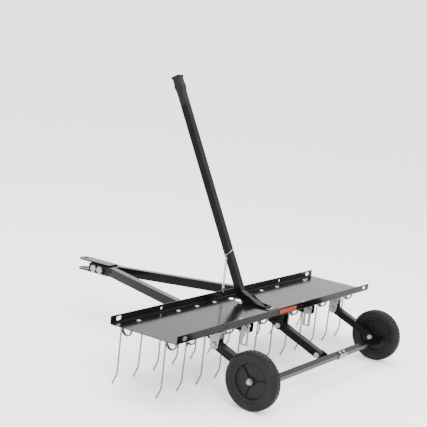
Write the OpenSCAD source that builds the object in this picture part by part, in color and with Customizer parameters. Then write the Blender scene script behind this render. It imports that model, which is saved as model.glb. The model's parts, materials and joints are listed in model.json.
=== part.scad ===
// Tow-behind lawn dethatcher: a steel tray with two rows of sprung wire tines,
// a V drawbar to the towing hitch, and a wheel frame that a lift lever raises.
// X is to the machine's right, +Y is the way it is towed, Z is up, z = 0 is the ground.

/* [Tray] */
// Width of the tray across the machine
tray_w = 1219; // [1180:1:1300]
// Depth of the tray from flange face to flange face
tray_d = 248; // [244:1:256]
// Height of the folded front and rear flanges
flange_h = 25.4; // [22:0.1:32]
// Thickness of the tray sheet
sheet = 2; // [1.5:0.1:3]
// Height of the tray's underside above the ground
tray_clear = 195; // [190:1:200]
// Front flange face, from the middle of the footprint
front_y = -85; // [-95:1:-75]

/* [Tines] */
// Spacing of the double tines along a row
tine_pitch = 203.2; // [200:0.1:206]
// Number of double tines in a row
tines_per_row = 6; // [6:1:6]
// Diameter of the spring wire
wire_d = 5; // [4:0.5:6]
// Outside diameter of the tine coils
coil_od = 40; // [38:1:44]
// Turns in each coil
coil_turns = 3; // [2:1:4]

/* [Wheels] */
// Diameter of the wheels
wheel_d = 180; // [170:1:184]
// Width of the tyres
tyre_w = 36; // [32:1:40]
// Distance between the inner faces of the two wheels
wheel_gap = 790; // [780:1:800]

/* [Wheel frame] */
// Side of the square tube used for the arms and the lever
tube = 25; // [24:1:26]
// Side of the square axle tube
axle_w = 18; // [16:1:20]
// Wall of the square tubes
wall = 2; // [1.5:0.5:2.5]
// Length of an arm from its pivot to the wheel's centre
arm_len = 172.7; // [168:0.1:178]
// Slope of the arms below the level of the tray
arm_tilt = 22.1; // [20:0.1:24]

/* [Lift lever] */
// Length of the lever above its bend
handle_len = 782; // [700:1:850]
// Lean of the handle from upright, towards the hitch
handle_lean = 27.7; // [24:0.1:30]
// Length of the hand grip
grip_len = 104; // [90:1:130]

/* [Drawbar] */
// Width of the drawbar tubes
bar_w = 25; // [24:1:26]
// Height of the drawbar tubes
bar_h = 32; // [28:1:34]
// Half the spacing of the drawbar tubes under the tray
bar_x = 200; // [195:1:205]
// Hitch pin hole, ahead of the front flange
hitch_y = 632; // [620:1:640]
// Radius of the hitch pin hole
hitch_r = 8.25; // [8:0.25:9]

/* [Hidden] */
$fn = 48;
eps = 0.1;

// Colours of the finishes
black_paint = "#1c1c1e";
zinc = "#c3c6c8";
spring_steel = "#8d8f90";
rubber_black = "#27282a";
plastic_black = "#303134";
nylon_grey = "#8a8a88";
label_orange = "#d9541e";

// Tray
bend_r = 4;                     // outside radius of the tray's folds
slot_x = 572.5;                 // flange slots, from the middle
slot_len = 24;
slot_r = 6.5;
hole_x = 362;                   // flange holes, from the middle
hole_r = 4.5;
hole_z = 14;
lever_slot_w = 30;
lever_slot_y = [-168.5, -20];   // rear and front edge of the lever slot
spring_hole_z = 20;             // hole for the spring's lower hook

// Tines
row_y = [-27, -212];            // tine bolts of the front and the rear row
coil_y = [-23.5, -191.5];       // middle of the coils in each row
coil_z = -coil_od / 2 - 0.1;
coil_r = coil_od / 2 - wire_d / 2 - 0.3;    // middle of the coil's wall
coil_x = 42;                    // inner turn of each coil, from the bolt
coil_len = coil_turns * wire_d;
turn_x = coil_x + 0.4;          // the wire turns into the coil just inside its end
leg_x = coil_x + coil_len - wire_d;
bridge_z = -wire_d / 2 - 0.3;   // wire that joins the two coils under the tray
kink_x = tine_pitch / 4;        // tips stand at half the tine pitch
kink_z = -160;
tip_ahead = 15;
tip_z = 1 - tray_clear;         // the wire's sloping end just meets the ground
bolt_r = 4;
tine_bolt_len = 23;
nut_h = 6.5;
clip_t = 2.5;
clip_z = bridge_z - wire_d / 2;

// Pivot line of the wheel frame: back from the front flange face, and below the tray
pivot = [-233, -40];
pin_r = 5;
run_fit = 0.06;                 // radial clearance of every running bore
hang_t = 3;
hang_y = 30;                    // depth of the pivot brackets
hang_gap = tube + 1;
bracket_bolt_x = 7;
bracket_bolt_y = -231;

// Wheel frame
arm_x = wheel_gap / 2 - 3 - tube / 2;
axle_back = arm_len + 22;       // axle tube's centre, from the pivot line
splice_x = 72;                  // end of the left axle tube
splice_gap = 4;
spindle_r = 5;
bush_r = 9;
rim_r = 63;
hub_r = 14;

// Lift lever
lever_reach = 166.7;            // pivot line to the bolt in its lower end
lever_rise = 182.7;             // pivot line to the bend
up_angle = 90 - handle_lean;
tab_t = 5;
grip_w = 30;
tab_x = tube / 2 + 0.5;         // inner face of the axle's lever tab
guide_x = 16;                   // inner face of the guide's side plates
guide_t = 2.5;
guide_y = [-176, -86];          // rear and front end of its side plates
guide_top = 28;
guide_foot_y = -200;
guide_lug = [42, -93];          // lug beside the front of each side plate
guide_lug_w = 17;
guide_lug_d = 14;
guide_bolt = [[-guide_lug[0], guide_lug[1]], guide_lug, [0, -191]];
spring_x = -17.2;
spring_r = 4;
spring_foot = [-1, 26.5];
spring_top = [0, 150];

// Drawbar
bar_top = 0;
bar_z = bar_top - bar_h / 2;
bar_rear = -240;
bar_bolt_y = [-200, -25];
bar_bend = [20, 476];           // where the tubes turn in, and turn straight again
bar_front = 585;
nose_w = 25;                    // block between the tubes at the hitch
nose_x = nose_w / 2 + bar_w / 2;
turn_in = atan((bar_x - nose_x) / (bar_bend[1] - bar_bend[0]));
plate_t = 5;
plate_w = 50;
plate_rear = 500;
hitch_bolt_y = [528, 558];
hitch_bolt_r = 7;
strap_z = [-76, -3];            // bottom and top of the slotted straps
strap_w = 28;
strap_t = 3;
strap_y = bar_rear + 12;
strap_bolt_z = -16;
strap_slot = [-66, -38];
strap_slot_r = 5.5;

// ---- placing and small shapes ----

module in_tray() { translate([0, front_y, tray_clear]) children(); }

module in_arm() {
    in_tray() translate([0, pivot[0], pivot[1]]) rotate([arm_tilt, 0, 0]) children();
}

module along_x(x) { translate([x, 0, 0]) rotate([0, 90, 0]) children(); }

module along_y(y) { translate([0, y, 0]) rotate([-90, 0, 0]) children(); }

module block(low, high) { translate(low) cube(high - low); }

module rod(a, b, r) {
    v = b - a;
    l = norm(v);
    translate(a) rotate([0, acos(v[2] / l), atan2(v[1], v[0])]) cylinder(r = r, h = l, $fn = 24);
}

module hex(across, h) { cylinder(r = across / sqrt(3), h = h, $fn = 6); }

// Hex bolt along +X from its head's inner face at the origin, with its nut
module bolt_x(r, grip) {
    along_x(-1.3 * r) hex(3.4 * r, 1.3 * r);
    along_x(-0.1) cylinder(r = r, h = grip + 2.2 * r + 0.1);
    along_x(grip) difference() {
        hex(3.4 * r, 1.6 * r);
        translate([0, 0, -1]) cylinder(r = r - 0.02, h = 2 * r + 2);
    }
}

// Low round head that stands on z = 0
module round_head(r) {
    cylinder(r = r, h = 1.5);
    translate([0, 0, 1.4]) cylinder(r1 = 0.9 * r, r2 = 0.45 * r, h = 0.3 * r);
}

// Bolt along -Z with a round head on top and a hex nut at the grip's end
module bolt_down(r, grip) {
    round_head(2.1 * r);
    translate([0, 0, -grip - 2.4 * r]) cylinder(r = r, h = grip + 2.4 * r + 0.2);
    translate([0, 0, -grip - 1.6 * r]) difference() {
        hex(3.3 * r, 1.6 * r);
        translate([0, 0, -1]) cylinder(r = r - 0.02, h = 3 * r);
    }
}

// Folded hanger under the tray: base and two cheeks across a gap, bored for a pin
module hanger(gap, depth_y, pin) {
    block([-gap / 2 - hang_t, -depth_y / 2, -hang_t], [gap / 2 + hang_t, depth_y / 2, 0]);
    for (s = [-1, 1])
        translate([s * (gap + hang_t) / 2, 0, 0]) difference() {
            union() {
                block([-hang_t / 2, -depth_y / 2, pin], [hang_t / 2, depth_y / 2, -hang_t + eps]);
                translate([0, 0, pin]) along_x(-hang_t / 2) cylinder(d = depth_y, h = hang_t);
            }
            translate([0, 0, pin]) along_x(-hang_t) cylinder(r = pin_r + 0.1, h = 2 * hang_t);
        }
}

// ---- tray ----

module channel_outline(r, t) {
    translate([r, t]) square([tray_d - 2 * r, flange_h]);
    translate([t, r]) square([tray_d - 2 * t, flange_h]);
    for (y = [r, tray_d - r]) translate([y, r]) circle(r = r - t);
}

module tray_section() {
    difference() {
        intersection() {
            channel_outline(bend_r, 0);
            square([tray_d, flange_h]);
        }
        channel_outline(bend_r, sheet);
    }
}

module flange_cuts() {
    for (s = [-1, 1]) {
        translate([s * hole_x, 0, hole_z]) along_y(-tray_d - 1) cylinder(r = hole_r, h = tray_d + 2);
        for (e = [-1, 1])
            translate([s * slot_x + e * (slot_len / 2 - slot_r), 0, hole_z])
                along_y(-tray_d - 1) cylinder(r = slot_r, h = tray_d + 2);
        translate([s * slot_x, -tray_d / 2, hole_z])
            cube([slot_len - 2 * slot_r, tray_d + 2, 2 * slot_r], center = true);
    }
}

function tine_x(i) = (i - (tines_per_row + 1) / 2) * tine_pitch;

module floor_hole(x, y, r) { translate([x, y, -1]) cylinder(r = r, h = sheet + 2); }

module tray_pan() {
    color(black_paint) in_tray() difference() {
        translate([-tray_w / 2, -tray_d, 0]) rotate([90, 0, 90])
            linear_extrude(tray_w) tray_section();
        flange_cuts();
        translate([spring_x, 0, spring_hole_z]) along_y(-sheet - 1) cylinder(r = 2.5, h = sheet + 2);
        block([-lever_slot_w / 2, lever_slot_y[0], -1], [lever_slot_w / 2, lever_slot_y[1], sheet + 1]);
        for (y = row_y, i = [1 : tines_per_row]) floor_hole(tine_x(i), y, bolt_r + 0.25);
        for (p = concat(bracket_bolt_places(), guide_bolt)) floor_hole(p[0], p[1], 3.25);
        for (s = [-1, 1], y = bar_bolt_y) floor_hole(s * bar_x, y, 4.25);
    }
}

module flange_label() {
    color(label_orange) in_tray() block([-45, -tray_d - 0.6, 4], [65, -tray_d, 21]);
}

// ---- drawbar ----

// Plan outline of one drawbar tube with mitred bends
function bar_outline(w, extra) =
    let (t = w / 2 * tan(turn_in / 2))
    [[bar_x + w / 2, bar_rear - extra], [bar_x + w / 2, bar_bend[0] + t],
     [nose_x + w / 2, bar_bend[1] + t], [nose_x + w / 2, bar_front + extra],
     [nose_x - w / 2, bar_front + extra], [nose_x - w / 2, bar_bend[1] - t],
     [bar_x - w / 2, bar_bend[0] - t], [bar_x - w / 2, bar_rear - extra]];

module drawbar_tube() {
    difference() {
        translate([0, 0, bar_top - bar_h]) linear_extrude(bar_h) polygon(bar_outline(bar_w, 0));
        translate([0, 0, bar_top - bar_h + wall]) linear_extrude(bar_h - 2 * wall)
            polygon(bar_outline(bar_w - 2 * wall, 5));
        for (y = hitch_bolt_y)
            translate([0, y, bar_z]) along_x(0) cylinder(r = hitch_bolt_r + 0.25, h = 60);
        for (y = bar_bolt_y) translate([bar_x, y, bar_top - bar_h - 1]) cylinder(r = 4.25, h = bar_h + 2);
        translate([0, strap_y, strap_bolt_z]) along_x(bar_x - 20) cylinder(r = 4.25, h = 40);
    }
}

module drawbar_right() { color(black_paint) in_tray() drawbar_tube(); }

module drawbar_left() { color(black_paint) in_tray() mirror([1, 0, 0]) drawbar_tube(); }

module clevis_plate() {
    difference() {
        union() {
            block([-plate_w / 2, plate_rear, 0], [plate_w / 2, hitch_y, plate_t]);
            translate([0, hitch_y, 0]) cylinder(d = plate_w, h = plate_t);
        }
        translate([0, hitch_y, -1]) cylinder(r = hitch_r, h = plate_t + 2);
    }
}

module hitch_clevis() {
    color(black_paint) in_tray() {
        translate([0, 0, bar_top]) clevis_plate();
        translate([0, 0, bar_top - bar_h - plate_t]) clevis_plate();
        difference() {
            block([-nose_w / 2, 480, bar_top - bar_h], [nose_w / 2, bar_front, bar_top]);
            block([-nose_w / 2 + 4, 479, bar_top - bar_h + 4], [nose_w / 2 - 4, bar_front - 6, bar_top - 4]);
            for (y = hitch_bolt_y)
                translate([0, y, bar_z]) along_x(-20) cylinder(r = hitch_bolt_r + 0.25, h = 40);
        }
    }
}

module hitch_bolts() {
    color(zinc) in_tray() for (y = hitch_bolt_y)
        translate([-nose_w / 2 - bar_w, y, bar_z]) bolt_x(hitch_bolt_r, nose_w + 2 * bar_w);
}

// Carriage bolts down through the tray and the drawbar tubes
module drawbar_bolts() {
    color(zinc) in_tray() for (s = [-1, 1], y = bar_bolt_y)
        translate([s * bar_x, y, sheet]) bolt_down(4, sheet + bar_h - bar_top);
}

// Slotted strap bolted to the outside of a drawbar's rear end
module adjust_strap(x) {
    color(zinc) in_tray() translate([x - bar_w / 2 - strap_t, strap_y, 0]) difference() {
        block([0, -strap_w / 2, strap_z[0]], [strap_t, strap_w / 2, strap_z[1]]);
        translate([0, 0, strap_bolt_z]) along_x(-1) cylinder(r = 4.25, h = strap_t + 2);
        for (z = strap_slot) translate([0, 0, z]) along_x(-1) cylinder(r = strap_slot_r, h = strap_t + 2);
        block([-1, -strap_slot_r, strap_slot[0]], [strap_t + 1, strap_slot_r, strap_slot[1]]);
    }
}

module adjust_strap_left() { adjust_strap(-bar_x); }

module adjust_strap_right() { adjust_strap(bar_x); }

module strap_bolts() {
    color(zinc) in_tray() for (s = [-1, 1])
        translate([s * bar_x - bar_w / 2 - strap_t, strap_y, strap_bolt_z]) bolt_x(4, bar_w + strap_t);
}

// ---- brackets under the tray ----

function bracket_bolt_places() =
    [for (x = [-arm_x, 0, arm_x], e = [-1, 1]) [x + e * bracket_bolt_x, bracket_bolt_y]];

module bracket_bolts() {
    color(zinc) in_tray() for (p = bracket_bolt_places())
        translate([p[0], p[1], sheet]) bolt_down(3, sheet + hang_t);
}

module pivot_bracket(x) {
    in_tray() difference() {
        translate([x, pivot[0], 0]) hanger(hang_gap, hang_y, pivot[1]);
        for (e = [-1, 1])
            translate([x + e * bracket_bolt_x, bracket_bolt_y, -hang_t - 1])
                cylinder(r = 3.25, h = hang_t + 2);
    }
}

module pivot_bracket_left() { color(zinc) pivot_bracket(-arm_x); }

module pivot_bracket_right() { color(zinc) pivot_bracket(arm_x); }

module centre_bracket() { color(black_paint) pivot_bracket(0); }

module pivot_bolts() {
    cheek = hang_gap / 2 + hang_t;
    color(zinc) in_tray() for (x = [-arm_x, 0, arm_x])
        translate([x - cheek, pivot[0], pivot[1]]) bolt_x(pin_r, 2 * cheek);
}

// Side outline of the guide's cheeks, as [y, z]
function guide_outline() = let (top = sheet + guide_top)
    [[guide_y[0], sheet], [guide_y[1], sheet], [guide_y[1], top - 6], [guide_y[1] - 8, top],
     [guide_y[1] - 18, top], [guide_y[0] + 36, sheet + 9], [guide_y[0], sheet + 6]];

// Folded guide that stands on the tray floor, one cheek on each side of the lever
module lever_guide() {
    out = guide_x + guide_t;
    color(black_paint) in_tray() difference() {
        union() {
            for (x = [-out, guide_x])
                translate([x, 0, 0]) rotate([90, 0, 90]) linear_extrude(guide_t)
                    polygon(guide_outline());
            block([-out, guide_y[0] - guide_t, sheet], [out, guide_y[0], sheet + 6]);
            block([-30, guide_foot_y, sheet], [30, guide_y[0] - guide_t + eps, sheet + guide_t]);
            for (s = [0, 1]) mirror([s, 0, 0])
                block([guide_x + eps, guide_lug[1] - guide_lug_d / 2, sheet],
                      [guide_lug[0] + guide_lug_w / 2, guide_lug[1] + guide_lug_d / 2, sheet + guide_t]);
        }
        for (p = guide_bolt) translate([p[0], p[1], 0]) cylinder(r = 3.25, h = 10);
    }
}

module guide_bolts() {
    color(zinc) in_tray() for (p = guide_bolt)
        translate([p[0], p[1], sheet + guide_t]) bolt_down(3, sheet + guide_t);
}

// ---- wheel frame ----

module wheel_arm(s) {
    x = s * arm_x;
    in_arm() difference() {
        union() {
            block([x - tube / 2, -axle_back - tube / 2, -tube / 2], [x + tube / 2, 0, tube / 2]);
            along_x(x - tube / 2) cylinder(d = tube, h = tube);
        }
        block([x - tube / 2 + wall, -axle_back + 10 - tube / 2, -tube / 2 + wall],
              [x + tube / 2 - wall, -16, tube / 2 - wall]);
        along_x(x - tube) cylinder(r = pin_r + run_fit, h = 2 * tube);
        translate([0, -arm_len, 0]) along_x(x - tube) cylinder(r = spindle_r + 0.1, h = 2 * tube);
    }
}

module wheel_arm_left() { color(black_paint) wheel_arm(-1); }

module wheel_arm_right() { color(black_paint) wheel_arm(1); }

module axle_tube(from, to) {
    half = axle_w / 2;
    in = half - wall;
    difference() {
        translate([0, -axle_back, 0]) block([from, -half, -half], [to, half, half]);
        translate([0, -axle_back, 0]) block([from - 1, -in, -in], [to + 1, in, in]);
    }
}

module axle_tube_left() {
    end = -arm_x + tube / 2;
    color(black_paint) in_arm() {
        axle_tube(end, splice_x);
        difference() {
            union() {
                block([tab_x, -axle_back + axle_w / 2 - eps, -tube / 2],
                      [tab_x + tab_t, -lever_reach, tube / 2]);
                translate([0, -lever_reach, 0]) along_x(tab_x) cylinder(d = tube, h = tab_t);
            }
            translate([0, -lever_reach, 0]) along_x(tab_x - 1) cylinder(r = pin_r + 0.1, h = tab_t + 2);
        }
    }
}

module axle_tube_right() {
    color(black_paint) in_arm() difference() {
        axle_tube(splice_x + splice_gap, arm_x - tube / 2);
        for (x = splice_bolt_x()) translate([x, -axle_back, -tube]) cylinder(r = 3.25, h = 2 * tube);
    }
}

function splice_bolt_x() = [splice_x + 18, splice_x + 44];

module axle_sleeve() {
    out = axle_w / 2 - wall - 0.1;
    color(black_paint) in_arm() difference() {
        translate([0, -axle_back, 0]) block([-20, -out, -out], [170, out, out]);
        translate([0, -axle_back, 0]) block([-21, -out + wall, -out + wall], [171, out - wall, out - wall]);
        for (x = splice_bolt_x()) translate([x, -axle_back, -tube]) cylinder(r = 3.25, h = 2 * tube);
    }
}

module splice_clamp() {
    half = axle_w / 2;
    color(zinc) in_arm() translate([0, -axle_back, 0]) difference() {
        block([splice_x + 6, -half - 3, -half - 3], [splice_x + 56, half, half]);
        block([splice_x + 5, -half, -half], [splice_x + 57, half + 1, half + 1]);
        for (x = splice_bolt_x()) translate([x, 0, -tube]) cylinder(r = 3.25, h = tube);
    }
}

module splice_bolts() {
    color(zinc) in_arm() for (x = splice_bolt_x())
        translate([x, -axle_back, axle_w / 2]) bolt_down(3, axle_w + 3);
}

// Wheel bolt: head inside the arm, threaded end outside the wheel
module spindle(s) {
    inner = arm_x - tube / 2;
    in_arm() translate([0, -arm_len, 0]) mirror([s < 0 ? 1 : 0, 0, 0]) {
        along_x(inner - 7) hex(16, 7);
        along_x(inner - 0.1) cylinder(r = spindle_r, h = wheel_gap / 2 + tyre_w - inner + 6);
    }
}

module spindle_left() { color(zinc) spindle(-1); }

module spindle_right() { color(zinc) spindle(1); }

module spindle_washers() {
    color(zinc) in_arm() translate([0, -arm_len, 0])
        for (s = [-1, 1], x = [wheel_gap / 2 - 2.9, wheel_gap / 2 + tyre_w - 1.9])
            along_x(s > 0 ? x : -x - 1.8) difference() {
                cylinder(r = 10, h = 1.8);
                translate([0, 0, -1]) cylinder(r = spindle_r + 0.1, h = 4);
            }
}

// Domed nuts on the ends of the wheel bolts
module spindle_caps() {
    color(zinc) in_arm() translate([0, -arm_len, 0]) for (s = [0, 1]) mirror([s, 0, 0])
        along_x(wheel_gap / 2 + tyre_w) difference() {
            union() {
                hex(15, 6);
                translate([0, 0, 5.9]) cylinder(r1 = 7, r2 = 3.5, h = 5);
            }
            translate([0, 0, -1]) cylinder(r = spindle_r + 0.02, h = 7.5);
        }
}

// ---- wheels: turned about +X from the inner face ----

module in_wheel(s) {
    in_arm() translate([0, -arm_len, 0]) mirror([s < 0 ? 1 : 0, 0, 0])
        along_x(wheel_gap / 2) rotate([0, 0, 90 - arm_tilt]) children();
}

module tyre() {
    r = wheel_d / 2;
    w = tyre_w;
    rotate_extrude($fn = 96) polygon([
        [rim_r, 3], [rim_r + 7, 1.5], [rim_r + 14, 0], [r - 9, 0.8], [r - 3, 3.5], [r - 0.8, 7.5],
        [r, 12], [r, w - 12], [r - 0.8, w - 7.5], [r - 3, w - 3.5], [r - 9, w - 0.8],
        [rim_r + 14, w], [rim_r + 7, w - 1.5], [rim_r, w - 3]]);
}

module wheel_disc() {
    w = tyre_w;
    seat = rim_r - 0.05;
    rotate_extrude($fn = 96) polygon([
        [bush_r + 0.05, 0.5], [hub_r, 0.5], [hub_r + 2, 12], [50, 12], [56, 4], [seat, 4],
        [seat, w - 4], [56, w - 4], [50, w - 12], [hub_r + 2, w - 12], [hub_r, w - 2.2],
        [bush_r + 0.05, w - 2.2]]);
    for (a = [90, 210, 330]) rotate([0, 0, a])
        block([hub_r - 2, -2, 6], [56, 2, w - 6]);
}

module wheel_bush() {
    translate([0, 0, 0.2]) difference() {
        cylinder(r = bush_r, h = tyre_w - 2.4);
        translate([0, 0, -1]) cylinder(r = spindle_r + run_fit, h = tyre_w + 2);
    }
}

module tyre_left() { color(rubber_black) in_wheel(-1) tyre(); }

module tyre_right() { color(rubber_black) in_wheel(1) tyre(); }

module wheel_disc_left() { color(plastic_black) in_wheel(-1) wheel_disc(); }

module wheel_disc_right() { color(plastic_black) in_wheel(1) wheel_disc(); }

module wheel_bush_left() { color(nylon_grey) in_wheel(-1) wheel_bush(); }

module wheel_bush_right() { color(nylon_grey) in_wheel(1) wheel_bush(); }

// ---- lift lever ----

// The lever's corners are [y, z] from the pivot line
function unit(a) = [cos(a), sin(a)];
function side(a) = [-sin(a), cos(a)];
lever_foot = -lever_reach * unit(arm_tilt);
lever_bend = lever_rise * unit(arm_tilt);
lever_top = lever_bend + handle_len * unit(up_angle);
lever_mitre = (side(arm_tilt) + side(up_angle)) / (1 + side(arm_tilt) * side(up_angle));

// Side outline of the bent lever
function lever_outline(w, foot, extra) = let (
    h = w / 2,
    a = lever_foot + foot * unit(arm_tilt),
    b = lever_top + extra * unit(up_angle))
    [a + h * side(arm_tilt), lever_bend + h * lever_mitre, b + h * side(up_angle),
     b - h * side(up_angle), lever_bend - h * lever_mitre, a - h * side(arm_tilt)];

// Extrudes a [y, z] outline about the pivot line, across x = from .. to
module side_plate(from, to) {
    translate([from, pivot[0], pivot[1]]) rotate([90, 0, 90])
        linear_extrude(to - from) children();
}

module lift_lever() {
    half = tube / 2;
    color(black_paint) in_tray() difference() {
        union() {
            side_plate(-half, half) polygon(lever_outline(tube, 0, 0));
            side_plate(-half, half) translate(lever_foot) circle(r = half - 0.03);
        }
        side_plate(-half + wall, half - wall) polygon(lever_outline(tube - 2 * wall, 18, 5));
        translate([0, pivot[0], pivot[1]]) along_x(-30) cylinder(r = pin_r + run_fit, h = 60);
        translate([0, pivot[0] + lever_foot[0], pivot[1] + lever_foot[1]])
            along_x(-30) cylinder(r = pin_r + 0.1, h = 60);
    }
}

module at_lever_top() {
    top = pivot + lever_top;
    translate([0, top[0], top[1]]) rotate([up_angle - 90, 0, 0]) children();
}

module handle_grip() {
    half = tube / 2 + 0.1;
    color(rubber_black) in_tray() difference() {
        at_lever_top() block([-grip_w / 2, -grip_w / 2, -grip_len], [grip_w / 2, grip_w / 2, 6]);
        at_lever_top() block([-half, -half, -grip_len - 1], [half, half, 0.1]);
    }
}

module lever_bolt() {
    foot = pivot + lever_foot;
    color(zinc) in_tray() translate([-tube / 2, foot[0], foot[1]])
        bolt_x(pin_r, tab_x + tab_t + tube / 2);
}

// Body of the assist spring, from the front flange to the lever
module lever_spring() {
    color(zinc) in_tray() rod([spring_x, spring_foot[0], spring_foot[1]],
                              [spring_x, spring_top[0], spring_top[1]], spring_r);
}

// ---- tines ----

// Ball that joins two lengths of wire at a bend
module bend(x, y, z) { translate([x, y, z]) sphere(r = wire_d / 2 + 0.12, $fn = 24); }

// Double torsion tine; each coil is a close-wound sleeve of its own outside size
module double_tine(i, row) {
    r = wire_d / 2;
    back = row_y[row] - coil_y[row] - bolt_r - r - 0.3;
    ahead = coil_r;
    color(spring_steel) in_tray() translate([tine_x(i), coil_y[row], 0]) {
        rod([-turn_x, back, bridge_z], [turn_x, back, bridge_z], r);
        for (s = [-1, 1]) {
            bend(s * turn_x, back, bridge_z);
            rod([s * turn_x, back, bridge_z], [s * turn_x, 1, bridge_z], r);
            translate([s * (coil_x + coil_len / 2 - r), 0, coil_z]) rotate([0, 90, 0]) difference() {
                cylinder(d = coil_od, h = coil_len, center = true);
                cylinder(d = coil_od - 2 * wire_d - 1.2, h = coil_len + 1, center = true);
            }
            rod([s * leg_x, ahead, coil_z], [s * kink_x, ahead, kink_z], r);
            bend(s * kink_x, ahead, kink_z);
            rod([s * kink_x, ahead, kink_z], [s * kink_x, ahead + tip_ahead, tip_z], r);
        }
    }
}

module each_tine_bolt() {
    for (y = row_y, i = [1 : tines_per_row]) translate([tine_x(i), y, 0]) children();
}

// Clip that pinches the tine's bridge wire against the tray
module tine_clips() {
    color(zinc) in_tray() each_tine_bolt() difference() {
        union() {
            block([-15, -12, clip_z - clip_t], [15, 12, clip_z]);
            block([-15, 9, clip_z - eps], [15, 12, 0]);
        }
        translate([0, 0, -20]) cylinder(r = bolt_r + 0.25, h = 30);
    }
}

module tine_bolts() {
    color(zinc) in_tray() each_tine_bolt() translate([0, 0, sheet]) {
        round_head(9);
        translate([0, 0, -tine_bolt_len]) cylinder(r = bolt_r, h = tine_bolt_len + 0.2);
    }
}

module tine_nuts() {
    color(zinc) in_tray() each_tine_bolt() translate([0, 0, clip_z - clip_t - nut_h]) difference() {
        hex(13, nut_h);
        translate([0, 0, -1]) cylinder(r = bolt_r + 0.03, h = nut_h + 2);
    }
}

tray_pan();
flange_label();
drawbar_left();
drawbar_right();
hitch_clevis();
hitch_bolts();
drawbar_bolts();
adjust_strap_left();
adjust_strap_right();
strap_bolts();
pivot_bracket_left();
pivot_bracket_right();
centre_bracket();
bracket_bolts();
pivot_bolts();
lever_guide();
guide_bolts();
wheel_arm_left();
wheel_arm_right();
axle_tube_left();
axle_tube_right();
axle_sleeve();
splice_clamp();
splice_bolts();
lift_lever();
lever_bolt();
handle_grip();
lever_spring();
spindle_left();
spindle_right();
spindle_washers();
spindle_caps();
tyre_left();
wheel_disc_left();
wheel_bush_left();
tyre_right();
wheel_disc_right();
wheel_bush_right();
for (i = [1 : tines_per_row]) {
    double_tine(i, 0);
    double_tine(i, 1);
}
tine_clips();
tine_bolts();
tine_nuts();
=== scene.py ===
import json
import math

import bpy
from mathutils import Matrix, Vector


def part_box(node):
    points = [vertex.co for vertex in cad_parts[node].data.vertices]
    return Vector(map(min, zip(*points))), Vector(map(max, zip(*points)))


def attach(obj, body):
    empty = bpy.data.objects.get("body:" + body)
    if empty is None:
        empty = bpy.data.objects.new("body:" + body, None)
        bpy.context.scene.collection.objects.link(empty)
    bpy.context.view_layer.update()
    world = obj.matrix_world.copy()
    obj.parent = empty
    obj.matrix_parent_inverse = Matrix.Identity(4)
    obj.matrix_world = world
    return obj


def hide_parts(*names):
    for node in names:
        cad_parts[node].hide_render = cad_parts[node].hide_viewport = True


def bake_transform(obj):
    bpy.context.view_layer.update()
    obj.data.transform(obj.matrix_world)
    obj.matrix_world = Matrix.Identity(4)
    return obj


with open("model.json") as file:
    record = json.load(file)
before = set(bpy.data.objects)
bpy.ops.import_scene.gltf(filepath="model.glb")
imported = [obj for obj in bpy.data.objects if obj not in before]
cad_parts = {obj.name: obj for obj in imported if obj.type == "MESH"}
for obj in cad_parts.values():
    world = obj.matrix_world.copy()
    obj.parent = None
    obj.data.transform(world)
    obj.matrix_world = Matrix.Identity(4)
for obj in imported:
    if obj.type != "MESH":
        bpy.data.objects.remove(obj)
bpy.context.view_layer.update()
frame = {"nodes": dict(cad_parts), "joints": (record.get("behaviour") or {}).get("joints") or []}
MM = 0.001


# ---- Tray ----
# The tray is one 2 mm steel sheet folded up at the front and the rear, punched for the tine bolts and
# the lever, and powder coated gloss black. Every frame piece after it has the same coat.

class Level:
    """A number that varies over a surface. Sums on it add Math nodes."""

    def __init__(self, finish, socket):
        self.finish = finish
        self.socket = socket

    def sum(self, operation, first, second):
        return self.finish.node("ShaderNodeMath", {"operation": operation}, {0: first, 1: second})

    def __add__(self, other):
        return self.sum("ADD", self, other)

    def __sub__(self, other):
        return self.sum("SUBTRACT", self, other)

    def __rsub__(self, other):
        return self.sum("SUBTRACT", other, self)

    def __mul__(self, other):
        return self.sum("MULTIPLY", self, other)

    __radd__ = __add__
    __rmul__ = __mul__

    def between(self, low, high):
        """0 below low, 1 above high, and smooth from one to the other."""
        settings = {"interpolation_type": "SMOOTHSTEP"}
        sockets = {"Value": self, "From Min": low, "From Max": high}
        return self.finish.node("ShaderNodeMapRange", settings, sockets)


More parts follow.
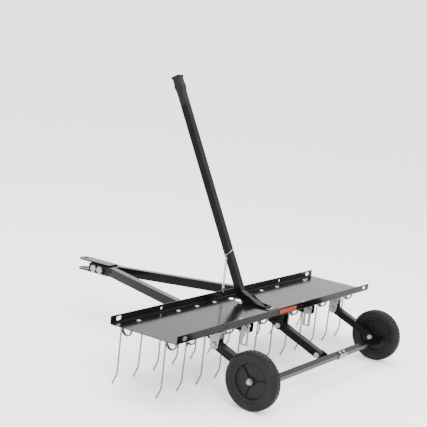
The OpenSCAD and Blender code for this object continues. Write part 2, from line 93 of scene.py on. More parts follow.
class Finish:
    """A surface finish: a Principled shader, and the nodes that vary it over the piece."""

    def __init__(self, name, **fixed):
        self.material = bpy.data.materials.new(name)
        self.material.use_nodes = True
        self.tree = self.material.node_tree
        self.shader = self.tree.nodes["Principled BSDF"]
        for socket, value in fixed.items():
            self.shader.inputs[socket.replace("_", " ")].default_value = value
        self.place = self.node("ShaderNodeTexCoord", {}, {}, "Object")

    def node(self, kind, settings, sockets, output=0):
        made = self.tree.nodes.new(kind)
        for key, value in settings.items():
            setattr(made, key, value)
        for key, value in sockets.items():
            self.feed(made.inputs[key], value)
        return Level(self, made.outputs[output])

    def feed(self, socket, value):
        if isinstance(value, Level):
            self.tree.links.new(value.socket, socket)
        else:
            socket.default_value = value

    def grain(self, scale, detail=3.0, roughness=0.55):
        """Cloudy noise, with about `scale` features to the metre."""
        sockets = {"Vector": self.place, "Scale": scale, "Detail": detail, "Roughness": roughness}
        return self.node("ShaderNodeTexNoise", {}, sockets, "Fac")

    def cells(self, scale):
        sockets = {"Vector": self.place, "Scale": scale}
        return self.node("ShaderNodeTexVoronoi", {"feature": "F1"}, sockets, "Distance")

    def along(self, axis):
        """The place along X, Y or Z, in metres."""
        return self.node("ShaderNodeSeparateXYZ", {}, {0: self.place}, axis)

    def mix(self, share, first, second):
        """Goes from the first colour to the second as share goes from 0 to 1."""
        made = self.tree.nodes.new("ShaderNodeMix")
        made.data_type = "RGBA"
        self.feed(made.inputs[0], share)
        self.feed(made.inputs[6], first)
        self.feed(made.inputs[7], second)
        return Level(self, made.outputs[2])

    def varies(self, colour, roughness, relief, depth, strength=1.0):
        sockets = {"Strength": strength, "Distance": depth, "Height": relief}
        bump = self.node("ShaderNodeBump", {}, sockets)
        self.feed(self.shader.inputs["Base Color"], colour)
        self.feed(self.shader.inputs["Roughness"], roughness)
        self.feed(self.shader.inputs["Normal"], bump)
        return self.material


def powder_coat():
    coat = Finish("powder_black", IOR=1.18)
    patches = coat.grain(9, 4).between(0.35, 0.7)
    peel = coat.grain(420, 2, 0.4)
    specks = coat.grain(1500, 1).between(0.62, 0.8)
    colour = coat.mix(patches, (0.0022, 0.0022, 0.0025, 1), (0.0040, 0.0041, 0.0045, 1))
    return coat.varies(colour, 0.15 + patches * 0.03 + specks * 0.06, peel, 0.00003, 0.3)


black = powder_coat()


def nothing_selected():
    if bpy.context.object and bpy.context.object.mode != "OBJECT":
        bpy.ops.object.mode_set(mode="OBJECT")
    bpy.ops.object.select_all(action="DESELECT")


def choose(piece):
    nothing_selected()
    piece.select_set(True)
    bpy.context.view_layer.objects.active = piece
    return piece


def apply_modifiers(piece):
    choose(piece)
    for modifier in list(piece.modifiers):
        bpy.ops.object.modifier_apply(modifier=modifier.name)


def dressed(piece, body, finish, slot, *nodes):
    """Gives a finished piece its material, its body and the nodes that it stands for. Its slot is not
    used.
    """
    piece.data.materials.clear()
    piece.data.materials.append(finish)
    choose(piece)
    bpy.ops.object.shade_smooth_by_angle(angle=math.radians(38))
    level = piece.modifiers.new("level", "WEIGHTED_NORMAL")
    level.keep_sharp = True
    level.weight = 90
    bpy.ops.object.modifier_apply(modifier=level.name)
    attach(piece, body)
    if nodes:
        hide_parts(*nodes)
    return piece


def eased(node, width, body, finish, slot, segments=2):
    """Copies a formed steel piece and rounds the sharp edges that rolling or punching never leaves."""
    piece = bpy.data.objects.new(node + "_formed", frame["nodes"][node].data.copy())
    bpy.context.scene.collection.objects.link(piece)
    choose(piece)
    bpy.ops.object.mode_set(mode="EDIT")
    bpy.ops.mesh.select_all(action="SELECT")
    bpy.ops.mesh.remove_doubles(threshold=1e-5)
    bpy.ops.mesh.dissolve_limited(angle_limit=math.radians(0.5))
    bpy.ops.object.mode_set(mode="OBJECT")
    bevel = piece.modifiers.new("edges", "BEVEL")
    bevel.width = width
    bevel.segments = segments
    bevel.limit_method = "ANGLE"
    bevel.angle_limit = math.radians(40)
    bevel.use_clamp_overlap = True
    apply_modifiers(piece)
    return dressed(piece, body, finish, slot, node)


eased("tray_pan", 0.4 * MM, "tray_frame", black, "powder_black")


# ---- Label ----
# A plain vinyl decal on the rear flange, orange-red with a darker printed edge. Its colour fades a
# little from place to place.

def vinyl():
    low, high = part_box("flange_label")
    decal = Finish("label_vinyl", IOR=1.25)
    middle = (low + high) / 2
    half = (high - low) / 2
    rim_start, rim_full = 2.2 * MM, 1.6 * MM
    rim = 0
    for axis, centre, reach in (("X", middle.x, half.x), ("Z", middle.z, half.z)):
        offset = decal.along(axis) - centre
        distance = offset.sum("ABSOLUTE", offset, 0)
        rim = distance.between(reach - rim_start, reach - rim_full) + rim
    fade = decal.grain(60, 3)
    colour = decal.mix(fade, (0.20, 0.022, 0.001, 1), (0.27, 0.038, 0.002, 1))
    colour = decal.mix(rim.between(0.2, 0.6), colour, (0.05, 0.006, 0.001, 1))
    return decal.varies(colour, 0.28 + fade * 0.1, decal.grain(900, 2), 0.00004, 0.4)


eased("flange_label", 0.2 * MM, "tray_frame", vinyl(), "label")


# ---- Drawbar and hitch ----
# Two steel tubes that meet in a V at the nose, where two plates with a pin hole make the clevis. The
# corners of the tubes have the radius of a rolled section.

for side in ("left", "right"):
    eased("drawbar_" + side, 2.2 * MM, "tray_frame", black, "powder_black", 3)
eased("hitch_clevis", 0.7 * MM, "tray_frame", black, "powder_black")


# ---- Hex bolts ----
# Zinc-plated bolts with chamfered hex heads and nuts and a rolled thread, put in from the left.
# Each size is turned once and copied to every place where it is used.

def zinc_plate():
    plate = Finish("zinc_plate", Metallic=1.0)
    cloud = plate.grain(70, 4)
    spangle = plate.cells(380)
    bloom = plate.grain(14, 2).between(0.45, 0.75)
    colour = plate.mix(cloud, (0.19, 0.20, 0.21, 1), (0.34, 0.345, 0.35, 1))
    colour = plate.mix(bloom * 0.5, colour, (0.27, 0.255, 0.22, 1))
    roughness = 0.24 + cloud * 0.16 + spangle * 0.12
    return plate.varies(colour, roughness, cloud + spangle * 0.4, 0.00006, 0.5)


zinc = zinc_plate()


def edit(piece):
    choose(piece)
    bpy.ops.object.mode_set(mode="EDIT")
    bpy.ops.mesh.select_all(action="SELECT")


def joined(name, parts):
    """Joins separate solids into one piece."""
    nothing_selected()
    for part in parts:
        part.select_set(True)
    bpy.context.view_layer.objects.active = parts[0]
    if len(parts) > 1:
        bpy.ops.object.join()
    parts[0].name = name
    parts[0].data.name = name
    return parts[0]


def copies(name, shape, places):
    """Copies a shape to each place, as one piece, and removes the shape that was copied."""
    made = []
    for place in places:
        copy = bpy.data.objects.new(name, shape.data.copy())
        bpy.context.scene.collection.objects.link(copy)
        copy.data.transform(place)
        made.append(copy)
    bpy.data.objects.remove(shape)
    return joined(name, made)


def turned(name, outline, steps=32):
    """Spins an outline of (radius, height) points round Z, as on a lathe."""
    mesh = bpy.data.meshes.new(name)
    edges = [(i, i + 1) for i in range(len(outline) - 1)]
    mesh.from_pydata([(radius, 0, height) for radius, height in outline], edges, [])
    piece = bpy.data.objects.new(name, mesh)
    bpy.context.scene.collection.objects.link(piece)
    edit(piece)
    bpy.ops.mesh.spin(steps=steps, angle=2 * math.pi, center=(0, 0, 0), axis=(0, 0, 1))
    bpy.ops.mesh.select_all(action="SELECT")
    bpy.ops.mesh.remove_doubles(threshold=1e-6)
    bpy.ops.mesh.normals_make_consistent(inside=False)
    bpy.ops.object.mode_set(mode="OBJECT")
    return piece


def hexagon(across, low, high, chamfered_top=True, chamfered_foot=False):
    """A hex prism, with a shallow chamfer that turns off the corners of the chosen ends."""
    reach = across / math.sqrt(3)
    bpy.ops.object.select_all(action="DESELECT")
    bpy.ops.mesh.primitive_cylinder_add(
        vertices=6, radius=reach, depth=high - low, location=(0, 0, (low + high) / 2))
    prism = bpy.context.object
    bpy.ops.object.transform_apply(location=True, rotation=True, scale=True)
    face = across / 2 * 0.96
    outside = reach + MM
    drop = 0.84 * (reach - across / 2)
    if chamfered_foot:
        foot = [(0, low), (face, low), (outside, low + drop)]
    else:
        foot = [(0, low - MM), (outside, low - MM), (outside, low)]
    if chamfered_top:
        top = [(outside, high - drop), (face, high), (0, high)]
    else:
        top = [(outside, high + MM), (reach, high + MM), (0, high + MM)]
    cone = turned("chamfer", foot + top, 48)
    meet = prism.modifiers.new("turned", "BOOLEAN")
    meet.operation = "INTERSECT"
    meet.solver = "EXACT"
    meet.object = cone
    apply_modifiers(prism)
    bpy.data.objects.remove(cone)
    return prism


def shank(radius, low, high, threaded, pitch=1.5 * MM):
    """A plain shank from high down to a rolled thread, with a chamfered end at low."""
    depth = 0.5 * pitch
    height = low + threaded
    outline = [(0, high), (radius, high), (radius, height)]
    while height - pitch > low + pitch:
        outline += [(radius - depth, height - pitch / 2), (radius, height - pitch)]
        height -= pitch
    outline += [(radius - depth, low), (0, low)]
    return turned("shank", outline, 24)


# A hex bolt's measures, as shares of its shank's radius.
hex_width = 3.4
hex_head = 1.3
hex_nut = 1.6
hex_tail = 2.2


def hex_bolt(radius, grip):
    """A hex bolt down -Z from the underside of its head at the origin, with its nut."""
    head = hexagon(hex_width * radius, 0.0, hex_head * radius)
    nut = hexagon(hex_width * radius, -grip - hex_nut * radius, -grip, False, True)
    tail = hex_tail * radius
    body = shank(radius, -grip - tail, 0.2 * radius, grip * 0.4 + tail)
    return joined("hex_bolt", [head, nut, body])


def across(node, radius, grip, lefts, body):
    """Puts hex bolts through at the given points, with their heads facing the machine's left."""
    turn = Matrix.Rotation(math.radians(-90), 4, "Y")
    places = [Matrix.Translation(left) @ turn for left in lefts]
    piece = copies(node + "_turned", hex_bolt(radius, grip), places)
    return dressed(piece, body, zinc, "zinc", node)


def islands(node):
    """The box of each separate solid in a CAD node, in order along X, then Y, then Z."""
    mesh = frame["nodes"][node].data
    boxes = []
    gap = 1.0 * MM
    for polygon in mesh.polygons:
        points = [mesh.vertices[i].co for i in polygon.vertices]
        low = Vector([min(p[k] for p in points) for k in range(3)])
        high = Vector([max(p[k] for p in points) for k in range(3)])
        meets = [box for box in boxes
                 if all(box[0][k] - gap <= high[k] and low[k] <= box[1][k] + gap for k in range(3))]
        for box in meets:
            low = Vector([min(low[k], box[0][k]) for k in range(3)])
            high = Vector([max(high[k], box[1][k]) for k in range(3)])
            boxes.remove(box)
        boxes.append((low, high))
    return sorted(boxes, key=lambda box: tuple(round(value, 3) for value in (box[0] + box[1]) / 2))


def bolt_lefts(node, radius):
    """The inner face of each bolt head, on the bolt's own centre line."""
    return [Vector((low.x + hex_head * radius, (low.y + high.y) / 2, (low.z + high.z) / 2))
            for low, high in islands(node)]


def grip_of(node, radius):
    """The clamped length of a node's bolts: their whole length without heads and thread ends."""
    low, high = islands(node)[0]
    return high.x - low.x - (hex_head + hex_tail) * radius


for node, radius, body in (("hitch_bolts", 7 * MM, "tray_frame"),
                           ("strap_bolts", 4 * MM, "tray_frame"),
                           ("pivot_bolts", 5 * MM, "tray_frame"),
                           ("lever_bolt", 5 * MM, "wheel_frame")):
    across(node, radius, grip_of(node, radius), bolt_lefts(node, radius), body)


# ---- Carriage bolts ----
# Round-headed bolts down through the tray floor, each with a hex nut underneath. The wheel frame's
# splice is held by the same kind.

# A carriage bolt's measures, as shares of its shank's radius.
dome_radius = 2.05
nut_width = 3.3
nut_height = 1.6
carriage_tail = 2.4


def stated_head(radius):
    """How far a carriage bolt's head stands above its seat in its CAD node."""
    return 1.4 * MM + 0.8 * radius


def mushroom(head_radius):
    """The low domed head of a carriage bolt, standing on z = 0."""
    rise = 0.42 * head_radius
    rim = 0.6 * MM
    steps = 7
    dome = [(head_radius * math.cos(a), rise * math.sin(a) + rim)
            for a in [math.pi / 2 * i / steps for i in range(steps)]]
    outline = [(0, 0), (head_radius * 0.97, 0)] + dome + [(0, rise + rim)]
    return turned("head", outline, 32)


def carriage_bolt(radius, grip, nutted=True):
    tail = carriage_tail * radius
    parts = [mushroom(dome_radius * radius),
             shank(radius, -grip - tail, 0.2 * radius, grip * 0.4 + tail, 1.25 * MM)]
    if nutted:
        parts.append(hexagon(nut_width * radius, -grip - nut_height * radius, -grip, False, True))
    return joined("carriage_bolt", parts)


def stand_bolts(node, radius, head_rise, tail, body, nutted=True):
    """Stands carriage bolts with their heads up in the boxes of a node's solids."""
    places = []
    for low, high in islands(node):
        seat = high.z - head_rise
        grip = seat - low.z - tail
        places.append(Matrix.Translation(((low.x + high.x) / 2, (low.y + high.y) / 2, seat)))
    piece = copies(node + "_turned", carriage_bolt(radius, grip, nutted), places)
    return dressed(piece, body, zinc, "zinc", node)


for node, radius in (("drawbar_bolts", 4 * MM), ("bracket_bolts", 3 * MM), ("guide_bolts", 3 * MM)):
    stand_bolts(node, radius, stated_head(radius), carriage_tail * radius, "tray_frame")


# ---- Straps, brackets and lever guide ----
# Pressed and folded from 3 mm strip. The straps and the arms' brackets are zinc plated, and the centre
# bracket and the guide beside the lever have the frame's black coat.

for node in ("adjust_strap_left", "adjust_strap_right", "pivot_bracket_left", "pivot_bracket_right"):
    eased(node, 0.5 * MM, "tray_frame", zinc, "zinc")
for node in ("centre_bracket", "lever_guide"):
    eased(node, 0.4 * MM, "tray_frame", black, "powder_black")


# ---- Wheel frame ----
# Square tube arms welded to a two-piece axle tube, with a zinc clamp and two bolts where its halves
# meet over an inner sleeve.

for node in ("wheel_arm_left", "wheel_arm_right", "axle_tube_left", "axle_tube_right"):
    eased(node, 1.6 * MM, "wheel_frame", black, "powder_black", 3)
eased("axle_sleeve", 0.5 * MM, "wheel_frame", black, "powder_black")
eased("splice_clamp", 0.5 * MM, "wheel_frame", zinc, "zinc")

pivot = Vector(next(joint["pos_m"] for joint in frame["joints"] if joint["name"] == "lever_lift"))
wheel_low, wheel_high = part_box("tyre_left")
wheel_centre = (wheel_low + wheel_high) / 2
arm_slope = math.atan2(pivot.z - wheel_centre.z, pivot.y - wheel_centre.y)
arm_turn = Matrix.Rotation(arm_slope, 4, "X")


def splice_bolts():
    """Two carriage bolts square to the arms, through the clamp and both halves of the axle."""
    radius = 3 * MM
    clamped = 21 * MM
    tail = clamped + carriage_tail * radius
    seat = Matrix.Translation((0, 0, (tail - stated_head(radius)) / 2))
    places = [Matrix.Translation((low + high) / 2) @ arm_turn @ seat
              for low, high in islands("splice_bolts")]
    piece = copies("splice_bolts_turned", carriage_bolt(radius, clamped), places)
    return dressed(piece, "wheel_frame", zinc, "zinc", "splice_bolts")


splice_bolts()


# ---- Lift lever ----
# One bent square tube from the axle up through the tray, with a moulded vinyl grip pushed on its end.

eased("lift_lever", 2.0 * MM, "wheel_frame", black, "powder_black", 3)
lever_lean = math.radians(27.7)


def vinyl_grip():
    skin = Finish("grip_vinyl", IOR=1.25)
    pores = skin.grain(1300, 2)
    wear = skin.grain(40, 3).between(0.4, 0.75)
    colour = skin.mix(wear, (0.0040, 0.0040, 0.0044, 1), (0.0080, 0.0080, 0.0085, 1))
    return skin.varies(colour, 0.42 + wear * 0.14, pores, 0.00025, 0.7)


def grip():
    """A grip with a flared guard near its foot, swelled up from a rounded square in short steps."""
    lever_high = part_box("lift_lever")[1]
    length = 104 * MM
    half_tube = 12.5 * MM
    top = Vector((0, lever_high.y - half_tube * math.cos(lever_lean),
                  lever_high.z - half_tube * math.sin(lever_lean)))
    bpy.ops.object.select_all(action="DESELECT")
    bpy.ops.mesh.primitive_plane_add(size=27 * MM, location=(0, 0, -length))
    piece = bpy.context.object
    bpy.ops.object.transform_apply(location=True)
    edit(piece)
    bpy.ops.mesh.bevel(offset=5 * MM, segments=5, affect="VERTICES")
    bpy.ops.mesh.select_all(action="SELECT")
    stations = [(8, 1.03), (30, 1.02), (16, 1.02), (8, 1.10), (7, 1.07), (7, 0.94),
                (8, 0.94), (14, 1.0), (2, 1.09), (1, 1.05), (6, 1.0), (1, 0.95)]
    for rise, scale in stations:
        bpy.ops.mesh.extrude_region_move(TRANSFORM_OT_translate={"value": (0, 0, rise * MM)})
        bpy.ops.transform.resize(value=(scale, scale, 1))
    bpy.ops.mesh.select_all(action="SELECT")
    bpy.ops.mesh.normals_make_consistent(inside=False)
    bpy.ops.object.mode_set(mode="OBJECT")
    piece.data.transform(Matrix.Translation(top) @ Matrix.Rotation(-lever_lean, 4, "X"))
    piece.name = "hand_grip"
    smooth = piece.modifiers.new("soft", "BEVEL")
    smooth.width = 0.6 * MM
    smooth.segments = 2
    smooth.angle_limit = math.radians(25)
    apply_modifiers(piece)
    return dressed(piece, "wheel_frame", vinyl_grip(), "grip", "handle_grip")


grip()


# ---- Wheels ----
# Solid black wheels: a moulded tyre with a fine block tread over a ribbed plastic disc. Each runs on a
# nylon bush, held by a zinc bolt with a domed nut.

def tyre_rubber():
    rubber = Finish("tyre_rubber", IOR=1.25)
    dust = rubber.grain(26, 4).between(0.4, 0.7)
    skin = rubber.grain(900, 2)
    colour = rubber.mix(dust, (0.0040, 0.0040, 0.0044, 1), (0.0085, 0.0085, 0.0085, 1))
    return rubber.varies(colour, 0.42 + dust * 0.16, skin, 0.0002, 0.6)


def moulded_plastic():
    plastic = Finish("wheel_plastic", IOR=1.25)
    flow = plastic.grain(18, 3)
    grain = plastic.cells(1100)
    colour = plastic.mix(flow, (0.0040, 0.0040, 0.0045, 1), (0.0075, 0.0075, 0.0082, 1))
    return plastic.varies(colour, 0.34 + flow * 0.14, grain, 0.00012, 0.5)


def nylon():
    plain = Finish("bush_nylon")
    cloud = plain.grain(120, 2)
    colour = plain.mix(cloud, (0.30, 0.30, 0.29, 1), (0.40, 0.40, 0.38, 1))
    return plain.varies(colour, 0.45 + cloud * 0.1, cloud, 0.0001, 0.4)


rubber = tyre_rubber()
plastic = moulded_plastic()
bush_nylon = nylon()
wheel_r = (wheel_high.z - wheel_low.z) / 2
wheel_w = wheel_high.x - wheel_low.x
seat_r = 63 * MM
tyre_steps = 120


def tyre_shape():
    """A tyre about Z, with its inner face at z = 0 and its outer face at z = wheel_w."""
    r, w = wheel_r, wheel_w
    side = [(seat_r + 0.4 * MM, 2.4), (seat_r + 3 * MM, 1.2), (r - 18 * MM, 0.4), (r - 13 * MM, 0.0),
            (r - 9 * MM, 0.5), (r - 6 * MM, 1.6), (r - 3.4 * MM, 3.4), (r - 1.6 * MM, 5.4)]
    crest, root = r - 0.5 * MM, r - 2.2 * MM
    tread = []
    for groove in (9.5, 18.0, 26.5):
        tread += [(crest, groove - 1.6), (crest, groove - 0.8), (root, groove - 0.5),
                  (root, groove + 0.5), (crest, groove + 0.8), (crest, groove + 1.6)]
    near = [(radius, height * MM) for radius, height in side]
    far = [(radius, w - height) for radius, height in reversed(near)]
    middle = [(radius, height * MM) for radius, height in tread]
    inside = [(seat_r + 0.05 * MM, w - 4 * MM), (seat_r + 0.05 * MM, 4 * MM)]
    piece = turned("tyre", near + middle + far + inside + [near[0]], tyre_steps)
    cut_tread(piece)
    return piece


def cut_tread(piece):
    """Cuts a slot across the tread at every third step, so that its ribs become blocks.

    The slots of every second rib are shifted by one step.
    """
    edit(piece)
    bpy.ops.mesh.select_all(action="DESELECT")
    bpy.ops.object.mode_set(mode="OBJECT")
    for polygon in piece.data.polygons:
        centre = polygon.center
        turn = math.atan2(centre.y, centre.x) % (2 * math.pi)
        step = int(turn / math.radians(360 / tyre_steps))
        crown = math.hypot(centre.x, centre.y) > wheel_r - 2.6 * MM and abs(polygon.normal.z) < 0.75
        shifted = wheel_w * 0.25 < centre.z < wheel_w * 0.5 or centre.z > wheel_w * 0.74
        polygon.select = crown and (step + shifted) % 3 == 0
    bpy.ops.object.mode_set(mode="EDIT")
    bpy.ops.mesh.extrude_region_shrink_fatten(TRANSFORM_OT_shrink_fatten={"value": -1.3 * MM})
    bpy.ops.object.mode_set(mode="OBJECT")


def disc_shape():
    """The wheel's plastic disc about Z, with three thin ribs from the hub to the ring."""
    w = wheel_w
    hub, bore = 12.5 * MM, 9.1 * MM
    rib_centre, rib_length, rib_width = 32.5 * MM, 43 * MM, 3.2 * MM
    face = [(bore, 2.2), (hub - 1 * MM, 2.2), (hub, 3.2), (hub + 2 * MM, 11), (50 * MM, 12.5),
            (52.5 * MM, 11.5), (53.5 * MM, 6), (55 * MM, 4.6), (57 * MM, 5.2), (59.5 * MM, 5.0),
            (61.5 * MM, 3.6), (seat_r, 3.2)]
    near = [(radius, height * MM) for radius, height in face]
    far = [(radius, w - height) for radius, height in reversed(near)]
    parts = [turned("disc", near + far + [near[0]], 96)]
    for angle in (42, 162, 282):
        for low, high in ((6.5 * MM, 13 * MM), (w - 13 * MM, w - 6.5 * MM)):
            bpy.ops.object.select_all(action="DESELECT")
            bpy.ops.mesh.primitive_cube_add(size=1, location=(rib_centre, 0, (low + high) / 2))
            rib = bpy.context.object
            rib.scale = (rib_length, rib_width, high - low)
            bpy.ops.object.transform_apply(location=True, rotation=True, scale=True)
            rib.data.transform(Matrix.Rotation(math.radians(angle), 4, "Z"))
            ease = rib.modifiers.new("ease", "BEVEL")
            ease.width = 0.9 * MM
            ease.segments = 2
            apply_modifiers(rib)
            parts.append(rib)
    return joined("disc", parts)


def bush_shape():
    bore, outside, ease = 5.1 * MM, 9 * MM, 0.5 * MM
    foot, top = 0.3 * MM, wheel_w - 2.3 * MM
    return turned("bush", [(bore, foot + ease), (bore + ease, foot), (outside - ease, foot),
                           (outside, foot + ease), (outside, top - ease), (outside - ease, top),
                           (bore + ease, top), (bore, top - ease), (bore, foot + ease)], 48)


for side, turn in (("left", -90), ("right", 90)):
    low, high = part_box("tyre_" + side)
    inner = high.x if side == "left" else low.x
    place = (Matrix.Translation((inner, (low.y + high.y) / 2, (low.z + high.z) / 2))
             @ Matrix.Rotation(math.radians(turn), 4, "Y"))
    for shape, name, finish, slot in ((tyre_shape, "tyre_", rubber, "tyre"),
                                      (disc_shape, "wheel_disc_", plastic, "wheel_plastic"),
                                      (bush_shape, "wheel_bush_", bush_nylon, "bush")):
        piece = copies(name + side + "_moulded", shape(), [place])
        dressed(piece, "wheel_" + side, finish, slot, name + side)


spindle_head = 7 * MM


def spindle_shape():
    """A wheel bolt with its head below z = 0 and its stem up +Z."""
    low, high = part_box("spindle_right")
    head = hexagon(16 * MM, -spindle_head, 0.0, False, True)
    stem = shank(5 * MM, 0.0, high.x - low.x - spindle_head, 0.0)
    return joined("spindle", [head, stem])


def cap_shape():
    """A domed nut that stands on z = 0."""
    radius, spring, rise = 7 * MM, 6 * MM, 5 * MM
    steps = 8
    dome = [(radius * math.cos(a), spring + rise * math.sin(a))
            for a in [math.pi / 2 * i / steps for i in range(steps)]]
    bell = turned("dome", [(0, 5.5 * MM), (radius, 5.5 * MM)] + dome + [(0, spring + rise)], 40)
    return joined("cap", [hexagon(15 * MM, 0.0, 6.2 * MM, True, False), bell])


def outward(side, reach):
    """A place on a wheel's centre line, with Z turned to point away from the machine."""
    sign = -1 if side == "left" else 1
    return (Matrix.Translation((sign * reach, wheel_centre.y, wheel_centre.z))
            @ Matrix.Rotation(math.radians(sign * 90), 4, "Y"))


hub_face = max(abs(wheel_low.x), abs(wheel_high.x))
for side in ("left", "right"):
    low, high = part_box("spindle_" + side)
    head_face = min(abs(low.x), abs(high.x)) + spindle_head
    piece = copies("spindle_%s_turned" % side, spindle_shape(), [outward(side, head_face)])
    dressed(piece, "wheel_frame", zinc, "zinc", "spindle_" + side)
caps = copies("spindle_caps_turned", cap_shape(), [outward(side, hub_face) for side in ("left", "right")])
dressed(caps, "wheel_frame", zinc, "zinc", "spindle_caps")
eased("spindle_washers", 0.3 * MM, "wheel_frame", zinc, "zinc")


# ---- Tines ----
# Double torsion tines bent from one length of spring wire: two coils joined by a bridge, and two legs
# kinked forward at the tips. A zinc clip, bolt and nut hold each bridge against the tray.

def wire_steel():
    wire = Finish("spring_wire", Metallic=0.85)
    film = wire.grain(55, 4)
    draw = wire.grain(700, 2)
    colour = wire.mix(film, (0.115, 0.108, 0.10, 1), (0.21, 0.20, 0.19, 1))
    return wire.varies(colour, 0.34 + film * 0.16, draw, 0.00008, 0.5)


spring_steel = wire_steel()


def wire_piece(name, points, radius, sides=10):
    """A round wire along the points, closed at both ends, as a mesh."""
    curve = bpy.data.curves.new(name, "CURVE")
    curve.dimensions = "3D"
    line = curve.splines.new("POLY")
    line.points.add(len(points) - 1)
    for place, point in zip(line.points, points):
        place.co = (*point, 1)
    curve.bevel_depth = radius
    curve.bevel_resolution = (sides - 4) // 2
    curve.use_fill_caps = True
    piece = bpy.data.objects.new(name, curve)
    bpy.context.scene.collection.objects.link(piece)
    choose(piece)
    bpy.ops.object.convert(target="MESH")
    piece = bpy.context.object
    edit(piece)
    bpy.ops.mesh.remove_doubles(threshold=1e-6)
    bpy.ops.mesh.normals_make_consistent(inside=False)
    bpy.ops.object.mode_set(mode="OBJECT")
    return piece


def rounded(corners, radius, steps=6):
    """A route through the corners, with each inner corner rounded off by a curve."""
    route = [corners[0]]
    for before, corner, after in zip(corners, corners[1:], corners[2:]):
        entry = corner + (before - corner).normalized() * radius
        leave = corner + (after - corner).normalized() * radius
        for i in range(steps + 1):
            t = i / steps
            route.append(entry * (1 - t) ** 2 + corner * 2 * t * (1 - t) + leave * t ** 2)
    return route + [corners[-1]]


tray_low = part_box("tray_pan")[0]
wire_d = 5 * MM


def half_tine(set_back):
    """The right half of a tine from the middle of its bridge, with the coil's axis over y = 0."""
    coil_od, turns, steps = 40 * MM, 2.25, 26
    bridge_behind = 6.8 * MM
    coil_x, leg_x = 41.6 * MM, 50.8 * MM
    kink_z = -160 * MM
    tip_forward, tip_rise = 15 * MM, 1.05 * MM
    reach = coil_od / 2 - wire_d / 2
    axis = -coil_od / 2 - 0.1 * MM
    back = -set_back - bridge_behind
    bridge = axis + reach
    route = rounded([Vector((0, back, bridge)), Vector((coil_x, back, bridge)),
                     Vector((coil_x, 0, bridge))], 6 * MM)
    total = 2 * math.pi * turns
    count = int(steps * turns)
    pitch = wire_d * 1.015
    for i in range(1, count + 1):
        angle = total * i / count
        route.append(Vector((coil_x + pitch * angle / (2 * math.pi), reach * math.sin(angle),
                             axis + reach * math.cos(angle))))
    leg = route[-1]
    kink = Vector((leg_x, reach, kink_z))
    tip = Vector((leg_x, reach + tip_forward, -tray_low.z + tip_rise))
    return route + rounded([leg + Vector((0, 0, -1 * MM)), kink, tip], 9 * MM)


bolt_rows = sorted({round((low.y + high.y) / 2, 4) for low, high in islands("tine_nuts")})
for row, bolt_y, set_back in (("front", bolt_rows[-1], 3.5 * MM),
                              ("rear", bolt_rows[0], 20.5 * MM)):
    right = half_tine(set_back)
    left = [Vector((-point.x, point.y, point.z)) for point in reversed(right)]
    tine = wire_piece("tine", left[:-1] + right, wire_d / 2)
    for number in range(1, 7):
        node = "tine_%s_%d" % (row, number)
        low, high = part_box(node)
        piece = bpy.data.objects.new(node + "_wire", tine.data.copy())
        bpy.context.scene.collection.objects.link(piece)
        piece.data.transform(Matrix.Translation(((low.x + high.x) / 2, bolt_y + set_back, tray_low.z)))
        dressed(piece, "tray_frame", spring_steel, "spring_steel", node)
    bpy.data.objects.remove(tine)

eased("tine_clips", 0.5 * MM, "tray_frame", zinc, "zinc")
stand_bolts("tine_bolts", 4 * MM, head_rise=4.4 * MM, tail=0.0, body="tray_frame", nutted=False)


def tine_nuts():
    places = []
    for low, high in islands("tine_nuts"):
        places.append(Matrix.Translation(((low.x + high.x) / 2, (low.y + high.y) / 2, high.z)))
    nut = hexagon(13 * MM, -6.5 * MM, 0.0, False, True)
    return dressed(copies("tine_nuts_turned", nut, places), "tray_frame", zinc, "zinc", "tine_nuts")


tine_nuts()


# ---- Assist spring ----
# A close-wound extension spring between a hole in the front flange and the lever. Its upper hook is a
# loop of wire round the lever, which moves with it.

def bright_wire():
    bright = Finish("bright_wire", Metallic=0.9)
    cloud = bright.grain(160, 3)
    colour = bright.mix(cloud, (0.42, 0.43, 0.44, 1), (0.58, 0.58, 0.58, 1))
    return bright.varies(colour, 0.28 + cloud * 0.14, cloud, 0.00005, 0.4)


spring_low, spring_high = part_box("lever_spring")
spring_x = (spring_low.x + spring_high.x) / 2
spring_foot = Vector((spring_x, spring_low.y + 4 * MM, spring_low.z))
spring_top = Vector((spring_x, spring_high.y - 4 * MM, spring_high.z))
bright = bright_wire()


def coil_route():
    reach = 3.2 * MM
    pitch = 2.3 * MM
    hole = Vector((spring_x, spring_foot.y, tray_low.z + 20 * MM))
    route = rounded([hole + Vector((0, -3.5 * MM, 9 * MM)), hole + Vector((0, -3.5 * MM, -1 * MM)),
                     hole + Vector((0, 3.5 * MM, -1 * MM)), hole + Vector((0, 3.5 * MM, 7 * MM)),
                     spring_foot + Vector((0, reach, 5 * MM))], 2.5 * MM, 4)
    start = spring_foot + Vector((0, 0, 6 * MM))
    end = spring_top - Vector((0, 0, 8 * MM))
    turns = int((end - start).length / pitch)
    steps = 10
    for i in range(turns * steps + 1):
        angle = 2 * math.pi * i / steps
        spot = start.lerp(end, i / (turns * steps))
        route.append(spot + Vector((reach * math.sin(angle), reach * math.cos(angle), 0)))
    route += [spring_top + Vector((0, reach, -4 * MM)), spring_top + Vector((1.6 * MM, 0, 2 * MM))]
    return route


coil = wire_piece("spring_coil", coil_route(), 0.85 * MM, 6)
coil.data.materials.append(bright)
choose(coil)
bpy.ops.object.shade_smooth_by_angle(angle=math.radians(50))
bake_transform(coil)
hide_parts("lever_spring")


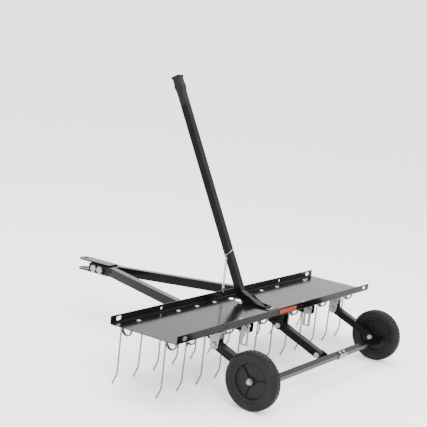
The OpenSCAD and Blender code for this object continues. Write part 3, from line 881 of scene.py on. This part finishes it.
def hook_route():
    """One turn of wire round the lever, rising as it goes."""
    along = Vector((0, math.sin(lever_lean), math.cos(lever_lean)))
    rear = Vector((0, -math.cos(lever_lean), math.sin(lever_lean)))
    half = 13.6 * MM
    side = Vector((1, 0, 0))
    centre = Vector((0, spring_top.y, spring_top.z))
    corners = [centre - side * half - rear * half * 0.2,
               centre - side * half + rear * half + along * 5 * MM,
               centre + side * half + rear * half + along * 16 * MM,
               centre + side * half - rear * half + along * 17 * MM,
               centre - side * half - rear * half + along * 6 * MM,
               centre - side * half - rear * half * 0.3 + along * 3 * MM]
    return rounded(corners, 2.2 * MM, 4)


dressed(wire_piece("spring_hook", hook_route(), 0.95 * MM, 8), "wheel_frame", bright, "zinc")


# ---- Studio ----
# A pale floor, a white surround, and soft light from above and from the left of the camera.

bpy.ops.object.select_all(action="DESELECT")
bpy.ops.mesh.primitive_plane_add(size=40, location=(0, 0, 0))
floor = bpy.context.object
floor.name = "floor"
paper = Finish("floor_paper", Specular_IOR_Level=0.0, Emission_Color=(1, 1, 1, 1), Emission_Strength=0.33)
cloud = paper.grain(2, 2)
floor.data.materials.append(paper.varies(
    paper.mix(cloud, (0.86, 0.86, 0.86, 1), (0.88, 0.88, 0.88, 1)), 0.9, cloud, 0.00001, 0.1))

world = bpy.data.worlds.new("surround")
bpy.context.scene.world = world
world.use_nodes = True
surround = world.node_tree.nodes["Background"]
surround.inputs["Color"].default_value = (1, 1, 1, 1)
surround.inputs["Strength"].default_value = 2.6


def soft_light(name, place, aim, size, power):
    lamp = bpy.data.lights.new(name, "AREA")
    lamp.size = size
    lamp.energy = power
    light = bpy.data.objects.new(name, lamp)
    bpy.context.scene.collection.objects.link(light)
    light.location = place
    light.rotation_euler = (Vector(aim) - Vector(place)).to_track_quat("-Z", "Y").to_euler()


soft_light("key", (-2.2, -2.6, 3.2), (0, -0.1, 0.2), 1.6, 160)
soft_light("top", (0.4, 0.4, 3.6), (0, 0, 0.2), 2.4, 110)


def rear_camera():
    """Stands behind the machine's left wheel, a little above the tray, and leans to the right."""
    azimuth, elevation, lean = (math.radians(angle) for angle in (-56.44, 9.11, 6.6))
    back = Vector((math.sin(azimuth) * math.cos(elevation),
                   -math.cos(azimuth) * math.cos(elevation), math.sin(elevation)))
    level = (-back).cross(Vector((0, 0, 1))).normalized()
    over = level.cross(-back)
    right = level * math.cos(lean) + over * math.sin(lean)
    up = over * math.cos(lean) - level * math.sin(lean)
    lens = bpy.data.cameras.new("camera")
    lens.lens = 87.9
    lens.sensor_width = 36
    lens.clip_end = 100
    camera = bpy.data.objects.new("camera", lens)
    bpy.context.scene.collection.objects.link(camera)
    turn = Matrix((right, up, back)).transposed().to_4x4()
    camera.matrix_world = Matrix.Translation((-2.9519, -1.9586, 1.0395)) @ turn
    bpy.context.scene.camera = camera


rear_camera()
